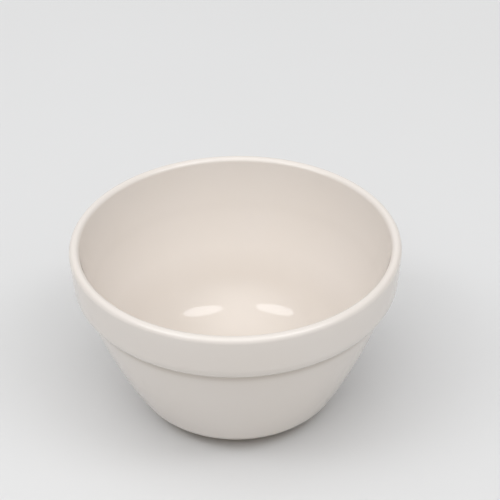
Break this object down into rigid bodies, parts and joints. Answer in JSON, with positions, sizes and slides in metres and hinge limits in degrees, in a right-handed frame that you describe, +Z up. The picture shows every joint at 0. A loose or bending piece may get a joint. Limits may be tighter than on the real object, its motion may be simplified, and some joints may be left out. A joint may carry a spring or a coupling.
{
  "type": "mixing bowl",
  "caption": "Round glazed ceramic mixing bowl with a thick plain collar round the rim, a tapering bowed wall and a small round foot.",
  "frame": {"origin": "centre of the foot ring, on the surface the bowl stands on", "axes": "+Z up along the bowl's axis of revolution, from the foot to the rim; X and Y are any two directions across it"},
  "size_m": [0.16, 0.16, 0.091],
  "materials": {
    "fired_clay": "matt",
    "cream_glaze": "gloss"
  },
  "bodies": {
    "root": {"clay_body": "fired_clay", "glaze_coat": "cream_glaze", "underside_glaze": "cream_glaze"}
  },
  "joints": []
}
